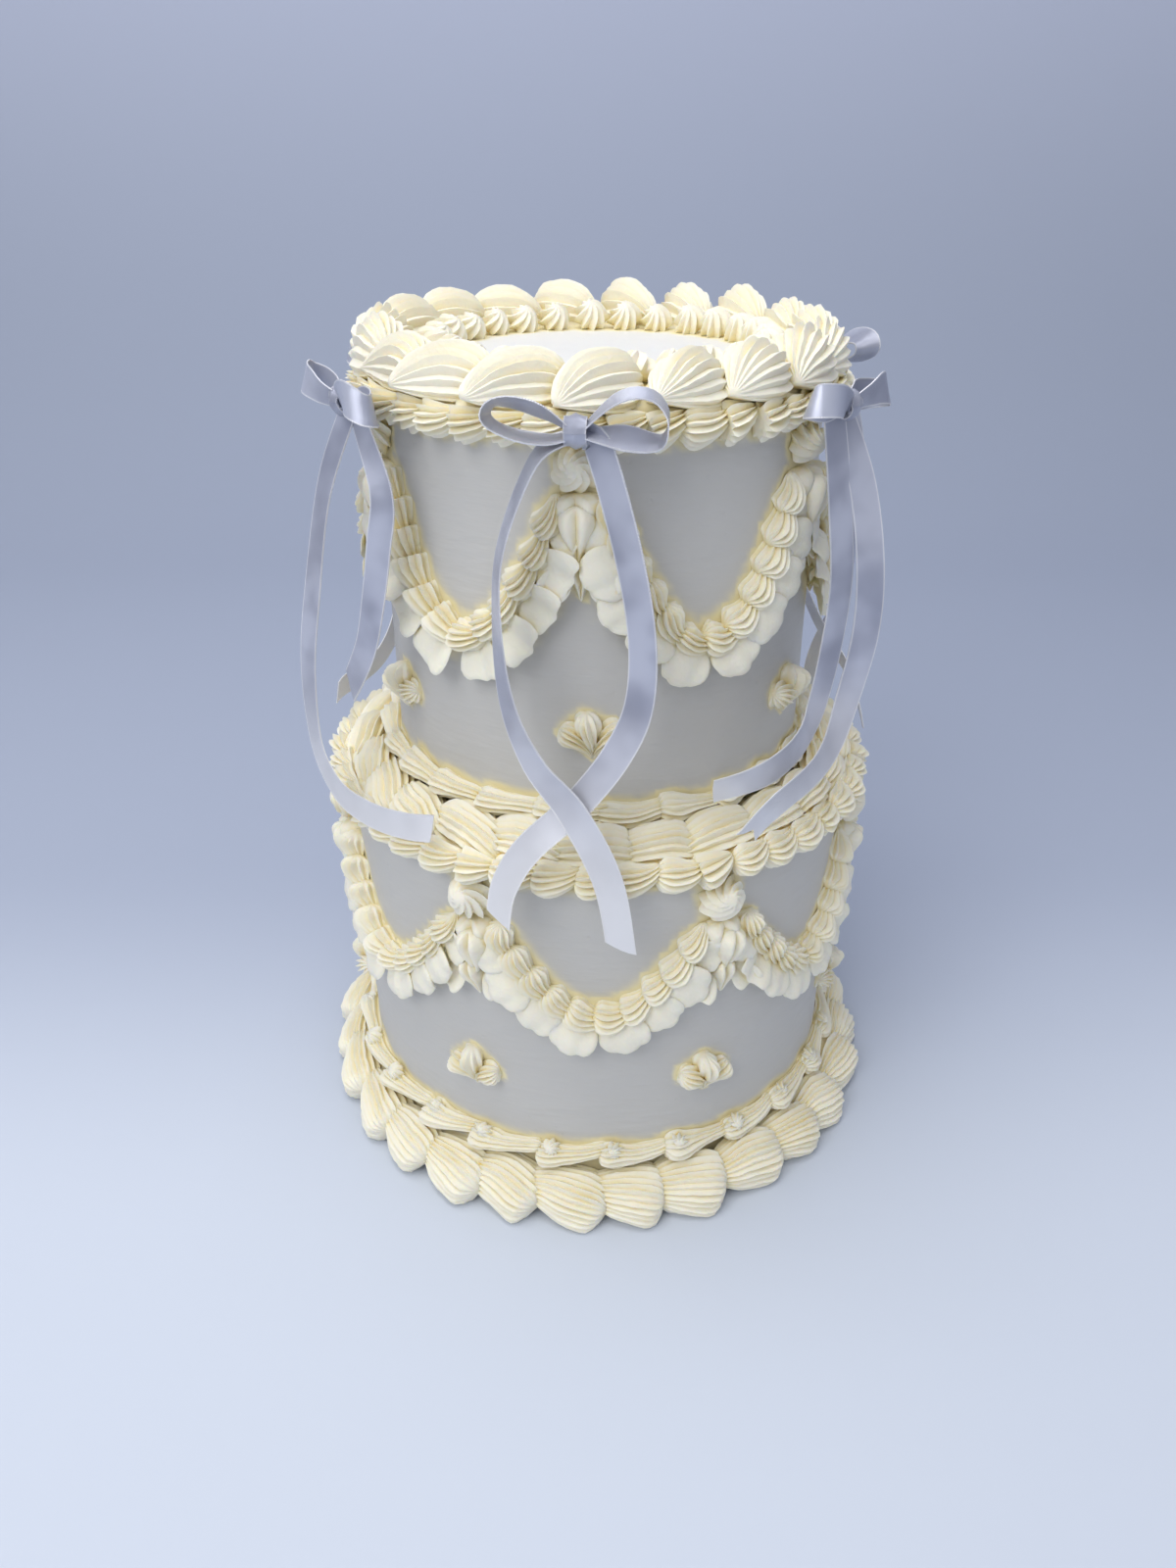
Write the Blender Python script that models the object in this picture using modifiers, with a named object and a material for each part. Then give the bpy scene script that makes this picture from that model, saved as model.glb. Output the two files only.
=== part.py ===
# A two-tier piped cake with shell borders, swags, flowers and ribbon bows.
# Metres, +Z up. The origin is the middle of the base, and the front faces -Y.
# An azimuth is in degrees, 0 at the front and growing towards +X.

import random
from math import atan2, cos, degrees, hypot, pi, radians, sin, tau

import bmesh
import bpy
from mathutils import Vector

# The two iced tiers
BOTTOM_RADIUS = 0.105
BOTTOM_HEIGHT = 0.156
TOP_RADIUS = 0.083
TOP_HEIGHT = 0.321
EDGE_ROUND = 0.004
TIER_STEPS = 48

# Clearance between neighbouring pieces, and the seat that keeps a flat back off a round wall
GAP = 0.0003
SEAT = 0.0006
BOTTOM_WALL = BOTTOM_RADIUS + SEAT
TOP_WALL = TOP_RADIUS + SEAT
LEDGE = BOTTOM_HEIGHT + GAP
ROOF = TOP_HEIGHT + GAP

# Piping: how much smaller a shell may be than its full size, how thin the piping is where a
# ring closes on itself, and the (place, size) stages of a large shell, tail first, and of a
# small bead
UNEVEN = 0.10
SEAM = 0.70
SWELL = ((0.0, 0.66), (0.38, 0.92), (0.78, 1.0))
BEAD = ((0.0, 0.62), (0.30, 1.0))
GROOVE = 0.10

# Each border: its anchor (radius, height), reach out and up from it, the arc it is piped over,
# the points of its section, whether the anchor is a corner of it, its shells, their stages,
# the azimuth it starts at and how far along its next neighbour a shell leans
BORDERS = {
    "base_shells": dict(
        anchor=(BOTTOM_WALL, 0.0), out=0.0205, up=0.0200, arc=(0, 90), points=8, groove=GROOVE,
        corner=True, shells=28, stages=SWELL, start=25, lean=0.10,
    ),
    "base_line": dict(
        anchor=(BOTTOM_WALL, 0.0259), out=0.0080, up=0.0055, arc=(-90, 90), points=4, groove=0.0,
        corner=False, shells=25, stages=BEAD, start=16, lean=0.0,
    ),
    "shelf_shells": dict(
        anchor=(TOP_WALL, LEDGE), out=0.0210, up=0.0155, arc=(0, 90), points=6, groove=GROOVE,
        corner=True, shells=25, stages=SWELL, start=5, lean=0.0,
    ),
    "shelf_line": dict(
        anchor=(TOP_WALL, 0.1782), out=0.0080, up=0.0060, arc=(-90, 90), points=4, groove=0.0,
        corner=False, shells=24, stages=BEAD, start=3, lean=0.0,
    ),
    "ledge_shells": dict(
        anchor=(BOTTOM_WALL, 0.1607), out=0.0088, up=0.0075, arc=(-90, 90), points=5,
        groove=GROOVE, corner=False, shells=46, stages=BEAD, start=-4, lean=-0.20,
    ),
    "rim_edge_shells": dict(
        anchor=(TOP_WALL, 0.3146), out=0.0085, up=0.0063, arc=(-90, 90), points=5,
        groove=GROOVE, corner=False, shells=43, stages=BEAD, start=2, lean=-0.20,
    ),
    "rim_shells": dict(
        anchor=(0.0795, ROOF), out=0.0128, up=0.0165, arc=(0, 180), points=9, groove=GROOVE,
        corner=False, shells=19, stages=SWELL, start=9, lean=0.35,
    ),
    "rim_curls": dict(
        anchor=(0.0600, ROOF), out=0.0062, up=0.0105, arc=(0, 180), points=4, groove=0.0,
        corner=False, shells=27, stages=BEAD, start=3, lean=0.0,
    ),
}

# The swags of each tier: the wall they hang on, the height of the rope at its lowest, how far
# it rises to its ends and how steeply, the half angle of the rope and of the room it has, and
# its shells
TOP_SWAG = dict(
    wall=TOP_WALL, low=0.238, rise=0.0500, power=2.0, half_span=24.0, limit=24.7, shells=12
)
BOTTOM_SWAG = dict(
    wall=BOTTOM_WALL, low=0.0965, rise=0.0360, power=1.8, half_span=20.2, limit=20.8, shells=11
)
# Swags round each tier, with a pillar between each two, and the azimuth of the first pillar
TOP_COUNT = 6
TOP_FIRST = -4.4
BOTTOM_COUNT = 7
BOTTOM_FIRST = 25.7

# The rope and its ruffle across the wall: half width and depth of the rope, petal length at
# the joint and at the head of a shell, and the thickness from the wall of a petal's two faces
ROPE_HALF = 0.0065
ROPE_DEPTH = 0.0088
PETAL_LENGTH = (0.0115, 0.0185)
PETAL_BACK = 0.0033
PETAL_FACE = 0.0058
JOINT_SIZE = 0.62

# A pillar from its top down: drop, half width and depth of a rosette over two petal buds
PILLAR_STAGES = (
    (0.0, 0.0, 0.0030),
    (0.0015, 0.0068, 0.0062),
    (0.0068, 0.0094, 0.0092),
    (0.0128, 0.0076, 0.0080),
    (0.0168, 0.0050, 0.0062),
    (0.0214, 0.0078, 0.0098),
    (0.0300, 0.0062, 0.0084),
    (0.0446, 0.0, 0.0020),
)
TOP_PILLAR_TOP = 0.3076
BOTTOM_PILLAR_TOP = 0.1527
BUDS_FROM = 4

# A flower: its outline as (turn, reach) anticlockwise from the right, three petals over a
# point, and the size and depth of its raised middle
FLOWER_OUTLINE = (
    (8, 0.0095),
    (38, 0.0060),
    (62, 0.0100),
    (98, 0.0105),
    (128, 0.0062),
    (158, 0.0096),
    (192, 0.0082),
    (232, 0.0088),
    (272, 0.0130),
    (325, 0.0082),
)
FLOWER_CROWN = 0.62
FLOWER_DEPTH = 0.0085
FLOWER_TIP = 0.0095
TOP_FLOWER_HEIGHT = 0.212
BOTTOM_FLOWER_HEIGHT = 0.067
FLOWER_SHIFT = 2.0

# Ribbon: its width and thickness, where the knot of a bow lies, the knot's half sizes along
# the wall, out and up, and the length, height and tilt of each loop
RIBBON_WIDTH = 0.012
RIBBON_THICK = 0.0012
KNOT_RADIUS = 0.0995
KNOT_HEIGHT = 0.3145
KNOT_HALF = (0.0050, 0.0048, 0.0055)
LEFT_LOOP = dict(hand=-1, length=0.025, height=0.0125, tilt=14)
RIGHT_LOOP = dict(hand=1, length=0.026, height=0.0160, tilt=12)
LOOP_RISE = 0.0010
LOOP_EDGES = (-0.0010, 0.0056)

# The tails of the three bows that face the front, each a run of (azimuth, radius, height)
CROSSED_TAILS = (
    (
        (-6.0, 0.0985, 0.3130),
        (-11.5, 0.1030, 0.3061),
        (-17.0, 0.1070, 0.2796),
        (-17.7, 0.1090, 0.2544),
        (-15.9, 0.1110, 0.2282),
        (-11.2, 0.1140, 0.2086),
        (-4.5, 0.1180, 0.1933),
        (1.3, 0.1215, 0.1684),
        (3.6, 0.1265, 0.1398),
    ),
    (
        (-3.0, 0.0985, 0.3130),
        (-0.3, 0.1010, 0.3092),
        (4.3, 0.1050, 0.2804),
        (7.0, 0.1070, 0.2520),
        (6.6, 0.1090, 0.2290),
        (2.9, 0.1110, 0.2123),
        (-3.8, 0.1135, 0.1948),
        (-11.8, 0.1190, 0.1792),
        (-15.7, 0.1225, 0.1642),
        (-16.3, 0.1265, 0.1504),
    ),
)
PAIRED_TAILS = (
    (
        (53.5, 0.0985, 0.3120),
        (56.0, 0.1070, 0.2870),
        (56.0, 0.1130, 0.2600),
        (56.0, 0.1140, 0.2350),
        (53.0, 0.1120, 0.2090),
        (45.0, 0.1150, 0.1960),
        (31.0, 0.1210, 0.1900),
        (26.0, 0.1165, 0.1762),
    ),
    (
        (50.5, 0.0985, 0.3120),
        (51.5, 0.1030, 0.2830),
        (52.0, 0.1060, 0.2560),
        (50.5, 0.1060, 0.2300),
        (46.0, 0.1065, 0.2080),
        (30.0, 0.1165, 0.2005),
        (20.9, 0.1050, 0.1904),
    ),
)
SWEPT_TAILS = (
    (
        (-58.0, 0.0985, 0.3120),
        (-64.0, 0.1070, 0.2830),
        (-64.0, 0.1150, 0.2480),
        (-64.0, 0.1200, 0.2190),
        (-62.0, 0.1215, 0.1900),
        (-55.5, 0.1200, 0.1755),
        (-46.5, 0.1180, 0.1725),
        (-36.5, 0.1170, 0.1745),
        (-30.3, 0.1150, 0.1765),
    ),
    (
        (-55.0, 0.0985, 0.3120),
        (-46.5, 0.1000, 0.2887),
        (-47.3, 0.1020, 0.2689),
        (-49.6, 0.1040, 0.2473),
        (-52.4, 0.1060, 0.2296),
        (-58.0, 0.1095, 0.2110),
    ),
)
# Each bow: the azimuth of its knot, its tails, and how far those are turned round the cake
BOWS = (
    (-4.4, CROSSED_TAILS, 0.0),
    (52.0, PAIRED_TAILS, 0.0),
    (115.6, CROSSED_TAILS, 120.0),
    (172.0, PAIRED_TAILS, 120.0),
    (-123.5, SWEPT_TAILS, -67.0),
    (-56.5, SWEPT_TAILS, 0.0),
)


def around(azimuth, radius, height):
    """The point at an azimuth in degrees, a radius and a height."""
    turn = radians(azimuth)
    return Vector((radius * sin(turn), -radius * cos(turn), height))


def new_collection(name):
    collection = bpy.data.collections.new(name)
    bpy.context.scene.collection.children.link(collection)
    return collection


def new_material(name, colour, roughness):
    material = bpy.data.materials.new(name)
    material.use_nodes = True
    shader = material.node_tree.nodes["Principled BSDF"]
    shader.inputs["Base Color"].default_value = (*colour, 1.0)
    shader.inputs["Roughness"].default_value = roughness
    shader.inputs["Metallic"].default_value = 0.0
    return material


def add_object(name, mesh, collection):
    piece = bpy.data.objects.new(name, mesh)
    collection.objects.link(piece)
    return piece


def shade(mesh):
    mesh.shade_smooth()
    mesh.set_sharp_from_angle(angle=radians(40))


def mesh_from(shape, name):
    """A mesh of a bmesh shape, with every face turned outwards."""
    shape.normal_update()
    bmesh.ops.recalc_face_normals(shape, faces=shape.faces)
    mesh = bpy.data.meshes.new(name)
    shape.to_mesh(mesh)
    shape.free()
    shade(mesh)
    return mesh


def new_torus(majors, minors):
    """A bmesh shape of a torus primitive, to be reshaped ring by ring."""
    bpy.ops.mesh.primitive_torus_add(
        major_segments=majors, minor_segments=minors, major_radius=1.0, minor_radius=0.25
    )
    torus = bpy.context.object
    shape = bmesh.new()
    shape.from_mesh(torus.data)
    bpy.data.objects.remove(torus)
    return shape


def torus_place(vertex, majors, minors):
    """Which ring of the torus primitive a vertex is on, and which point of that ring."""
    x, y, z = vertex.co
    major = round(atan2(y, x) / tau * majors) % majors
    minor = round(atan2(z, hypot(x, y) - 1.0) / tau * minors) % minors
    return major, minor


def iced_tier(name, radius, low, high, collection, material):
    """One iced cake tier: a turned solid with a softly rounded top edge."""
    profile = [(0.0, high)]
    for turn in (radians(30 * step) for step in range(4)):
        inset = EDGE_ROUND * (1 - sin(turn))
        profile.append((radius - inset, high - EDGE_ROUND * (1 - cos(turn))))
    profile += [(radius, low), (0.0, low)]
    shape = bmesh.new()
    points = [shape.verts.new((r, 0.0, z)) for r, z in profile]
    for first, second in zip(points, points[1:]):
        shape.edges.new((first, second))
    mesh = bpy.data.meshes.new(name)
    shape.to_mesh(mesh)
    shape.free()
    mesh.materials.append(material)
    tier = add_object(name, mesh, collection)
    screw = tier.modifiers.new("turned", "SCREW")
    screw.angle = tau
    screw.steps = TIER_STEPS
    screw.render_steps = TIER_STEPS
    screw.use_merge_vertices = True
    screw.merge_threshold = 0.0001


def section_point(border, index, size):
    """A point (radius, height) of a border's section: an arc about its anchor, with every other
    point drawn in as a groove. The anchor closes the section where it is a corner of it."""
    if border["corner"] and index == border["points"] - 1:
        return border["anchor"]
    first, last = border["arc"]
    spans = border["points"] - 1 - border["corner"]
    turn = radians(first + (last - first) * index / spans)
    reach = size * (1 - border["groove"] * (index % 2))
    radius, height = border["anchor"]
    return radius + border["out"] * reach * cos(turn), height + border["up"] * reach * sin(turn)


def piped_ring(name, border, collection, material):
    """A closed ring of piped shells. Each shell has a section at every stage along it, so that
    it swells at the head and tapers to the tail that the next head starts from."""
    stages, shells, points = border["stages"], border["shells"], border["points"]
    majors = shells * len(stages)
    shape = new_torus(majors, points)
    draw = random.Random(name)
    sizes = [1 - UNEVEN * draw.random() for _ in range(shells)]
    for vertex in shape.verts:
        major, index = torus_place(vertex, majors, points)
        shell, step = divmod(major, len(stages))
        place, size = stages[step]
        size *= sizes[shell] * (SEAM if major == 0 else 1.0)
        turn = (shell + place + border["lean"] * index / points) * 360 / shells
        vertex.co = around(border["start"] + turn, *section_point(border, index, size))
    mesh = mesh_from(shape, name)
    mesh.materials.append(material)
    add_object(name, mesh, collection)


def wall_loft(name, rings, points, place):
    """A closed mesh lofted along a wall. place(ring, index) gives each point of a section, and
    ring 0 and the last one are the single points that the mesh starts and ends in."""
    shape = bmesh.new()
    bmesh.ops.create_uvsphere(shape, u_segments=points, v_segments=rings + 1, radius=1.0)
    for vertex in shape.verts:
        x, y, z = vertex.co
        ring = round(atan2(hypot(x, y), z) / pi * (rings + 1))
        index = round(atan2(y, x) / tau * points) % points
        vertex.co = place(ring, index)
    return mesh_from(shape, name)


def swag_mesh(name, swag):
    """One swag about azimuth 0: a rope of shells that hangs between two pillars, with a ruffle
    of petals along its lower side. Positions are along the wall and up it, then out from it."""
    wall, shells, limit = swag["wall"], swag["shells"], swag["limit"]
    rings = 2 * shells + 1

    def rope(share):
        azimuth = swag["half_span"] * share
        return Vector((radians(azimuth) * wall, swag["low"] + swag["rise"] * abs(share) ** swag["power"]))

    def section(size, petal, lift):
        """Across the rope and out from the wall, from under the petal to the rope's top edge."""
        return (
            (-0.85 * ROPE_HALF * size, 0.0),
            (-petal, PETAL_BACK * lift),
            (-petal, PETAL_FACE * lift),
            (-0.62 * ROPE_HALF * size, 0.62 * ROPE_DEPTH * size),
            (0.15 * ROPE_HALF * size, ROPE_DEPTH * size),
            (ROPE_HALF * size, 0.0),
        )

    def place(ring, index):
        share = 2 * ring / (rings + 1) - 1
        if ring in (0, rings + 1):
            end = rope(share)
            return around(degrees(end.x / wall), wall + PETAL_BACK, end.y)
        head = ring % 2 == 0
        share -= 0.3 / shells if head else 0.0
        taper = min(1.0, 4.5 * (1 - abs(share)))
        size = (1.0 if head else JOINT_SIZE) * (0.45 + 0.55 * taper)
        petal = PETAL_LENGTH[head] * (0.55 + 0.45 * taper)
        across, out = section(size, petal, 1.15 if head else 1.0)[index]
        ahead = (rope(share + 0.01) - rope(share - 0.01)).normalized()
        spot = rope(share) + Vector((-ahead.y, ahead.x)) * across
        azimuth = max(-limit, min(limit, degrees(spot.x / wall)))
        return around(azimuth, wall + out, spot.y)

    return wall_loft(name, rings, 6, place)


def pillar_mesh(name, wall, top, limit):
    """The piece over the ends of two swags: a piped rosette with folded petal buds under it,
    which stay within the half angle that the swags leave."""
    arc = ((-1.0, 0.0), (-0.75, 0.62), (0.0, 1.0), (0.75, 0.62), (1.0, 0.0))

    def place(ring, index):
        drop, half_width, depth = PILLAR_STAGES[ring]
        across, out = arc[index]
        azimuth = degrees(across * half_width / wall)
        if ring >= BUDS_FROM:
            azimuth = max(-limit, min(limit, azimuth))
        return around(azimuth, wall + out * depth, top - drop)

    return wall_loft(name, len(PILLAR_STAGES) - 2, len(arc), place)


def flower_mesh(name, wall, height):
    """A flower of three piped petals that meet in a point below, lying flat on the wall."""

    def place(ring, index):
        if ring in (0, 3):
            return around(0.0, wall + (FLOWER_TIP if ring == 0 else 0.0), height)
        degree, reach = FLOWER_OUTLINE[index]
        crown = ring == 1
        reach *= FLOWER_CROWN if crown else 1.0
        azimuth = degrees(reach * cos(radians(degree)) / wall)
        return around(
            azimuth, wall + (FLOWER_DEPTH if crown else 0.0), height + reach * sin(radians(degree))
        )

    return wall_loft(name, 2, len(FLOWER_OUTLINE), place)


def smooth_path(points, share):
    """A point of the smooth curve through (azimuth, radius, height) points."""
    spans = len(points) - 1
    span = min(int(share * spans), spans - 1)
    t = share * spans - span
    four = (
        points[max(span - 1, 0)],
        points[span],
        points[span + 1],
        points[min(span + 2, spans)],
    )
    weights = (
        (-t * t * t + 2 * t * t - t) / 2,
        (3 * t * t * t - 5 * t * t + 2) / 2,
        (-3 * t * t * t + 4 * t * t + t) / 2,
        (t * t * t - t * t) / 2,
    )
    return around(*(sum(w * v for w, v in zip(weights, values)) for values in zip(*four)))


def ribbon_tail(name, points, collection):
    """A tail of ribbon: an open strip along a smooth path, with its face turned outwards."""
    shape = bmesh.new()
    bmesh.ops.create_grid(shape, x_segments=len(points) + 2, y_segments=1, size=1.0)
    for vertex in shape.verts:
        share = min(1.0, max(0.0, (vertex.co.x + 1) / 2))
        spot = smooth_path(points, share)
        ahead = smooth_path(points, min(1.0, share + 0.01))
        ahead -= smooth_path(points, max(0.0, share - 0.01))
        out = Vector((spot.x, spot.y, 0.0)).normalized()
        side = ahead.cross(out).normalized()
        vertex.co = spot + side * vertex.co.y * RIBBON_WIDTH / 2
    strip = add_object(name, mesh_from(shape, name), collection)
    thick = strip.modifiers.new("ribbon thickness", "SOLIDIFY")
    thick.thickness = RIBBON_THICK
    thick.offset = 0.0


def ribbon_loop(name, azimuth, loop, collection):
    """A loop of the bow: a band that leaves the knot, swells out to one hand and comes back."""
    majors, minors = 10, 4
    hand, lean = loop["hand"], radians(loop["tilt"])
    shape = new_torus(majors, minors)

    def line(turn):
        along = loop["length"] * (1 - cos(turn)) / 2
        rise = 0.62 * loop["height"] * sin(turn) * sin(turn / 2) ** 2
        return Vector(
            (hand * (along * cos(lean) - rise * sin(lean)), along * sin(lean) + rise * cos(lean))
        )

    for vertex in shape.verts:
        major, corner = torus_place(vertex, majors, minors)
        turn = (major + 0.5) * tau / majors
        ahead = (line(turn + 0.02) - line(turn - 0.02)).normalized()
        side = Vector((ahead.y, -ahead.x)) * RIBBON_THICK / 2
        spot = line(turn) + (side if corner in (0, 1) else -side)
        depth = KNOT_RADIUS + LOOP_EDGES[corner in (1, 2)]
        place = around(azimuth, depth, KNOT_HEIGHT + LOOP_RISE + spot.y)
        vertex.co = place + around(azimuth + 90, spot.x, 0.0)
    add_object(name, mesh_from(shape, name), collection)


def ribbon_knot(name, azimuth, collection):
    """The knot of the bow, a small wrapped cushion of ribbon."""
    along, out, up = KNOT_HALF
    shape = bmesh.new()
    bmesh.ops.create_uvsphere(shape, u_segments=6, v_segments=4, radius=1.0)
    for vertex in shape.verts:
        x, y, z = vertex.co
        place = around(azimuth, KNOT_RADIUS - out * y, KNOT_HEIGHT + up * z)
        vertex.co = place + around(azimuth + 90, along * x, 0.0)
    add_object(name, mesh_from(shape, name), collection)


def join_all(name, pieces, collection, material):
    """Joins the pieces into one closed solid with one Boolean union on their collection."""
    first = pieces.objects[0]
    pieces.objects.unlink(first)
    collection.objects.link(first)
    union = first.modifiers.new("joined", "BOOLEAN")
    union.operation = "UNION"
    union.operand_type = "COLLECTION"
    union.collection = pieces
    union.solver = "EXACT"
    seen = first.evaluated_get(bpy.context.evaluated_depsgraph_get())
    mesh = bpy.data.meshes.new_from_object(seen)
    for piece in [first, *pieces.objects]:
        bpy.data.objects.remove(piece)
    bpy.data.collections.remove(pieces)
    mesh.name = name
    mesh.materials.clear()
    mesh.materials.append(material)
    shade(mesh)
    add_object(name, mesh, collection)


def ribbon_bow(name, azimuth, tails, turned, collection, material):
    """One bow: a knot with two loops and two tails, joined into one solid."""
    pieces = new_collection(f"{name}_pieces")
    ribbon_knot(f"{name}_knot", azimuth, pieces)
    ribbon_loop(f"{name}_left_loop", azimuth, LEFT_LOOP, pieces)
    ribbon_loop(f"{name}_right_loop", azimuth, RIGHT_LOOP, pieces)
    for side, tail in zip(("left", "right"), tails):
        ribbon_tail(f"{name}_{side}_tail", [(a + turned, r, h) for a, r, h in tail], pieces)
    join_all(name, pieces, collection, material)


def copies_round(mesh, count, first, collection, material):
    """Copies of one mesh spaced evenly round the cake, each its own object."""
    mesh.materials.append(material)
    for number in range(count):
        piece = add_object(f"{mesh.name}_{number + 1}", mesh, collection)
        piece.rotation_euler.z = radians(first + 360 * number / count)


def dress_tier(tier, swag, count, first, pillar_top, flower_at, flower_shift, cake, piping):
    """Hangs the swags of one tier, with the pillars between them and the flowers below those."""
    wall = swag["wall"]
    room = 360 / count / 2 - swag["limit"] - 0.3
    copies_round(swag_mesh(f"{tier}_swag", swag), count, first + 180 / count, cake, piping)
    pillar = pillar_mesh(f"{tier}_pillar", wall, pillar_top, room)
    copies_round(pillar, count, first, cake, piping)
    flower = flower_mesh(f"{tier}_flower", wall, flower_at)
    copies_round(flower, count, first + flower_shift, cake, piping)


def main():
    for thing in list(bpy.data.objects):
        bpy.data.objects.remove(thing, do_unlink=True)
    cake = new_collection("lambeth_cake")
    icing = new_material("smooth_icing", (0.80, 0.78, 0.74), 0.55)
    piping = new_material("piped_icing", (0.90, 0.83, 0.62), 0.50)
    satin = new_material("satin_ribbon", (0.72, 0.73, 0.88), 0.35)
    iced_tier("bottom_tier", BOTTOM_RADIUS, 0.0, BOTTOM_HEIGHT, cake, icing)
    iced_tier("top_tier", TOP_RADIUS, LEDGE, TOP_HEIGHT, cake, icing)
    for name, border in BORDERS.items():
        piped_ring(name, border, cake, piping)
    dress_tier(
        "top", TOP_SWAG, TOP_COUNT, TOP_FIRST, TOP_PILLAR_TOP, TOP_FLOWER_HEIGHT, FLOWER_SHIFT,
        cake, piping,
    )
    dress_tier(
        "bottom", BOTTOM_SWAG, BOTTOM_COUNT, BOTTOM_FIRST, BOTTOM_PILLAR_TOP,
        BOTTOM_FLOWER_HEIGHT, -FLOWER_SHIFT, cake, piping,
    )
    for number, (azimuth, tails, turned) in enumerate(BOWS, 1):
        ribbon_bow(f"ribbon_bow_{number}", azimuth, tails, turned, cake, satin)


main()
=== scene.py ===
import math
import random

import bmesh
import bpy
import numpy as np
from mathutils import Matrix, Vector
from mathutils.bvhtree import BVHTree


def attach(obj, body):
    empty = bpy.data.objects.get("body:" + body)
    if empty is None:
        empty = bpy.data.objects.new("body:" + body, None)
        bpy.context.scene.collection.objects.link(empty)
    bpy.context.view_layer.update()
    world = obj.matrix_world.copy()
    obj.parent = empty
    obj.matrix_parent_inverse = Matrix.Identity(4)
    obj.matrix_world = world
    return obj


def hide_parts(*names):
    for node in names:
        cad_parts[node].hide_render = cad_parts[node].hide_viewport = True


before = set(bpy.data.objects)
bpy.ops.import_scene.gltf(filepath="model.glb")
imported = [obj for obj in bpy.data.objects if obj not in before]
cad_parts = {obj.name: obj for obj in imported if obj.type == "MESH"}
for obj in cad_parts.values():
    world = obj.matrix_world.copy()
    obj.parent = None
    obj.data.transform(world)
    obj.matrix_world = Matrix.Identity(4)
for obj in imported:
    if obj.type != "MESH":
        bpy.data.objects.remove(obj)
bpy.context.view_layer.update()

# The piped cake in metres. An azimuth is in degrees, 0 at the front and growing towards +X.


# Small helpers for modelling

def clearSelection():
    bpy.ops.object.select_all(action="DESELECT")


def newest(name):
    made = bpy.context.object
    made.name = name
    made.data.name = name
    return made


def editMode():
    bpy.ops.object.mode_set(mode="EDIT")
    bpy.ops.mesh.select_mode(type="VERT")


def objectMode():
    bpy.ops.object.mode_set(mode="OBJECT")


def pick(piece, wanted):
    # selects the vertices that a test wants, in edit mode
    shape = bmesh.from_edit_mesh(piece.data)
    shape.verts.ensure_lookup_table()
    for face in shape.faces:
        face.select_set(False)
    for edge in shape.edges:
        edge.select_set(False)
    for vertex in shape.verts:
        vertex.select_set(bool(wanted(vertex)))
    shape.select_flush_mode()
    bmesh.update_edit_mesh(piece.data)


def applyModifier(piece, kind, **settings):
    bpy.context.view_layer.objects.active = piece
    modifier = piece.modifiers.new(kind.lower(), kind)
    for setting, value in settings.items():
        setattr(modifier, setting, value)
    bpy.ops.object.modifier_apply(modifier=modifier.name)


def soften(piece):
    applyModifier(piece, "SUBSURF", levels=1, render_levels=1)


def closeUp():
    # faces turned outwards, and edit mode left
    bpy.ops.mesh.select_all(action="SELECT")
    bpy.ops.mesh.normals_make_consistent(inside=False)
    objectMode()


def turnCap(angle, axis, centre):
    # with no window the turn runs the other way round
    bpy.ops.transform.rotate(value=-angle, orient_axis=axis, center_override=centre)


# Piping nozzles: each gives one shape lying on the plane z = 0, which is copied round the cake

piping = {
    "sunk": 0.22,  # how far a shell sits in the icing, as a share of its half width
    "weakRidge": 0.95,
    "hollowWidth": 0.62,
    "crisp": 0.35,
    "smoothBelow": 58,  # degrees between two faces
    "ripples": ((190.0, 1.0), (420.0, 0.45), (1500.0, 0.22)),
}


def creaseLines(piece, look):
    # edges that run along a ridge or a groove stay crisp when the piece is softened
    mesh = piece.data
    line = np.zeros(len(mesh.vertices), np.int32)
    mesh.attributes["line"].data.foreach_get("value", line)
    ends = np.zeros(len(mesh.edges) * 2, np.int32)
    mesh.edges.foreach_get("vertices", ends)
    first, second = line[ends.reshape(-1, 2)].T
    sharpness = np.where(first == 1, look.get("crisp", piping["crisp"]), look.get("cut", 1.0))
    sharpness = sharpness * ((first == second) & (first > 0))
    crease = mesh.attributes.new("crease_edge", "FLOAT", "EDGE")
    crease.data.foreach_set("value", sharpness.astype(np.float32))
    # groove vertices are marked, and the piping's colour turns to painted shade along them
    hollow = mesh.attributes.new("hollow", "FLOAT", "POINT")
    hollow.data.foreach_set("value", (line == 2).astype(np.float32))


def nozzleOutline(name, look, upright):
    # a star nozzle's outline: its vertices are on ridges, 1, and in grooves, 2, in turn
    clearSelection()
    tilt = (0, math.pi / 2, 0) if upright else (0, 0, 0)
    bpy.ops.mesh.primitive_circle_add(
        vertices=2 * look["ridges"], radius=look["width"] / 2, rotation=tilt
    )
    piece = newest(name)
    bpy.ops.object.transform_apply(location=False, rotation=True, scale=False)
    editMode()
    shape = bmesh.from_edit_mesh(piece.data)
    shape.verts.layers.int.new("line")
    shape = bmesh.from_edit_mesh(piece.data)
    layer = shape.verts.layers.int["line"]
    for vertex in shape.verts:
        vertex[layer] = 1 + vertex.index % 2
    pick(piece, lambda vertex: vertex.index % 2)
    groove = look["groove"]
    bpy.ops.transform.resize(value=(groove, groove, groove), center_override=(0, 0, 0))
    # some ridges come out of the nozzle weaker than others
    pick(piece, lambda vertex: vertex.index % 2 == 0 and vertex.index % 6 == 2)
    weak = piping["weakRidge"]
    bpy.ops.transform.resize(value=(weak, weak, weak), center_override=(0, 0, 0))
    bpy.ops.mesh.select_all(action="SELECT")
    return piece


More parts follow.
